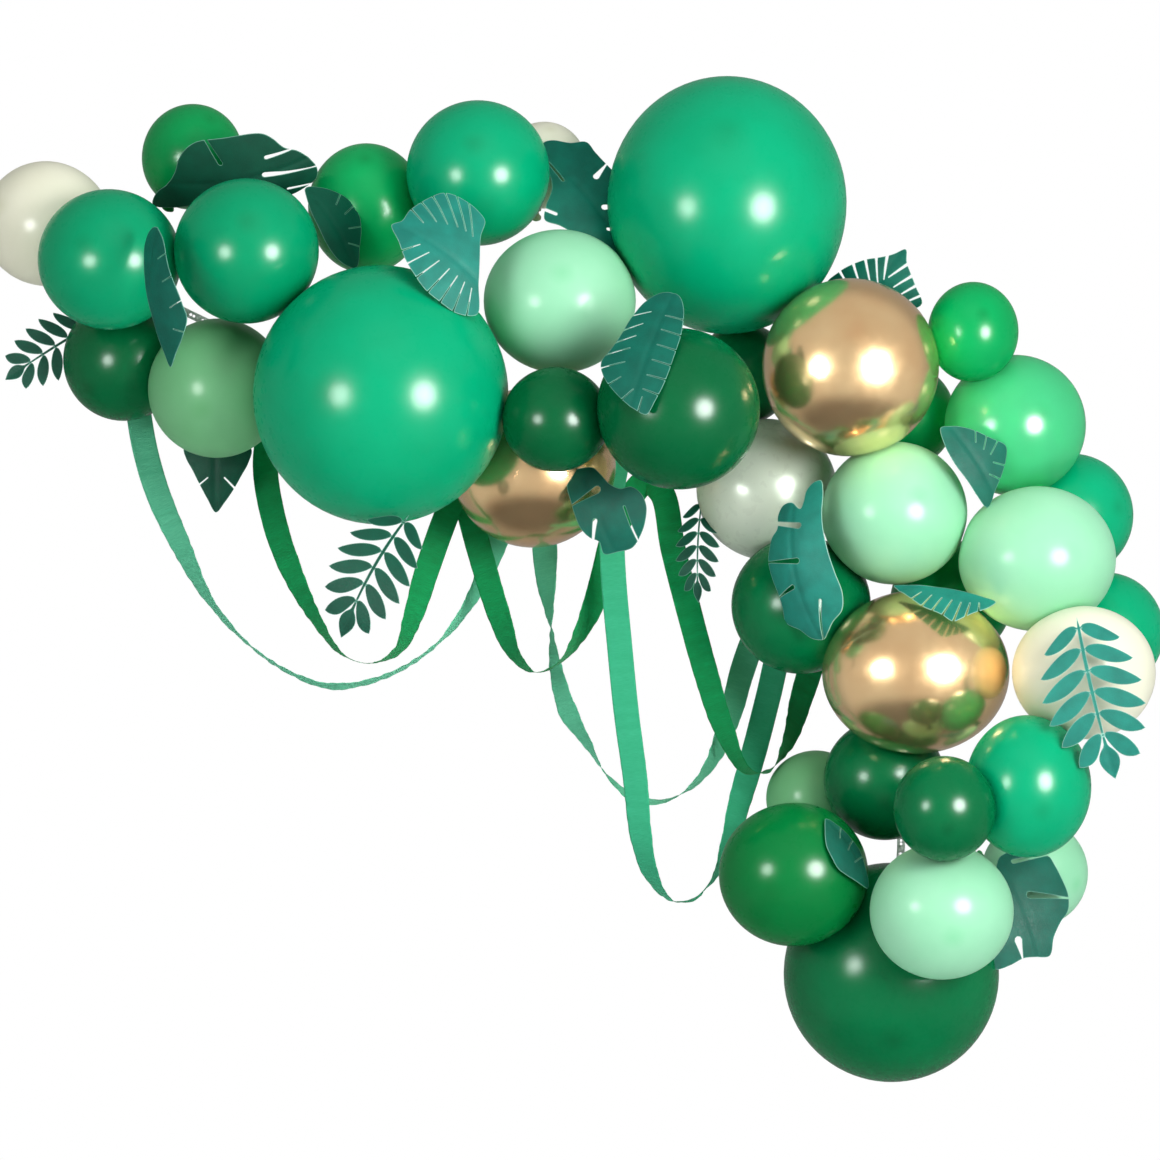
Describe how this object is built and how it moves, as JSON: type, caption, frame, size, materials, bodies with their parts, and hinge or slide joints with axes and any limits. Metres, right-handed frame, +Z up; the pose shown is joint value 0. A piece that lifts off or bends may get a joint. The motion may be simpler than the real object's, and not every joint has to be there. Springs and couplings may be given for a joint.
{
  "type": "balloon garland",
  "caption": "Wall-hung swag of green, mint, ivory and gold latex balloons with card leaves and twisted crepe streamers.",
  "frame": {"origin": "centre of the middle hanging tab, on the strip's flat back face, which lies on the wall", "axes": "+X along the swag's length, to the right as seen from the front; +Y out of the back, into the wall; +Z up; the balloons face -Y"},
  "size_m": [2.105, 0.6382, 1.7868],
  "materials": {
    "latex_jade": "glossy opaque latex",
    "latex_forest": "glossy translucent latex, dark green",
    "latex_grass": "glossy translucent latex, grass green",
    "latex_crystal_green": "clear glossy latex, bright green",
    "latex_mint": "satin opaque latex",
    "latex_sage": "satin opaque latex",
    "latex_ivory": "satin opaque latex",
    "latex_pearl": "pearly latex with a soft sheen",
    "latex_chrome_gold": "metallic chrome latex, mirror-like",
    "card_dark_green": "printed card, matt, clean-cut edges",
    "card_teal": "printed card, matt, clean-cut edges",
    "card_light_teal": "printed card, matt, clean-cut edges",
    "crepe_sage": "crepe paper, finely crinkled across",
    "crepe_dark_green": "crepe paper, finely crinkled across",
    "crepe_jade": "crepe paper, finely crinkled across",
    "strip_plastic": "translucent white plastic tape"
  },
  "bodies": {
    "root": {"balloon_ivory_left_end": "latex_ivory", "balloon_crystal_dark_left": "latex_forest", "balloon_grass_small_top_left": "latex_grass", "balloon_grass_behind_large": "latex_grass", "balloon_ivory_small_top": "latex_ivory", "balloon_forest_behind_gold": "latex_forest", "balloon_grass_behind_mint": "latex_grass", "balloon_grass_behind_gold_low": "latex_grass", "balloon_green_right_end": "latex_jade", "balloon_jade_right": "latex_jade", "balloon_sage_low_left": "latex_sage", "balloon_mint_low_right": "latex_mint", "balloon_forest_large_bottom": "latex_forest", "balloon_crystal_green_right": "latex_crystal_green", "balloon_jade_large_top": "latex_jade", "balloon_gold_low_left": "latex_chrome_gold", "balloon_pearl_white": "latex_pearl", "balloon_forest_middle_right": "latex_forest", "balloon_forest_low_right": "latex_forest", "balloon_grass_small_right": "latex_grass", "balloon_mint_right_inner": "latex_mint", "balloon_sage_left": "latex_sage", "balloon_jade_left": "latex_jade", "balloon_jade_top": "latex_jade", "balloon_mint_top": "latex_mint", "balloon_jade_left_inner": "latex_jade", "balloon_jade_large_left": "latex_jade", "balloon_forest_small": "latex_forest", "balloon_forest_middle": "latex_forest", "balloon_gold_top_right": "latex_chrome_gold", "balloon_mint_right_outer": "latex_mint", "balloon_ivory_right": "latex_ivory", "balloon_jade_low_right": "latex_jade", "balloon_grass_low_left": "latex_grass", "balloon_mint_low": "latex_mint", "balloon_forest_small_low": "latex_forest", "balloon_gold_low_right": "latex_chrome_gold", "monstera_top_left": "card_dark_green", "leaf_left_narrow": "card_teal", "leaf_behind_large": "card_dark_green", "palm_top": "card_light_teal", "monstera_top": "card_teal", "palm_middle": "card_teal", "palm_gold": "card_teal", "monstera_right": "card_teal", "palm_gold_low": "card_light_teal", "monstera_middle": "card_teal", "monstera_curled": "card_light_teal", "branch_left": "card_dark_green", "monstera_low_left": "card_dark_green", "branch_hanging": "card_dark_green", "branch_small": "card_dark_green", "branch_right": "card_light_teal", "monstera_low_right": "card_teal", "leaf_low_left": "card_teal", "streamer_light": "crepe_sage", "streamer_dark": "crepe_dark_green", "streamer_bright": "crepe_jade", "hanging_strip": "strip_plastic"}
  },
  "joints": []
}
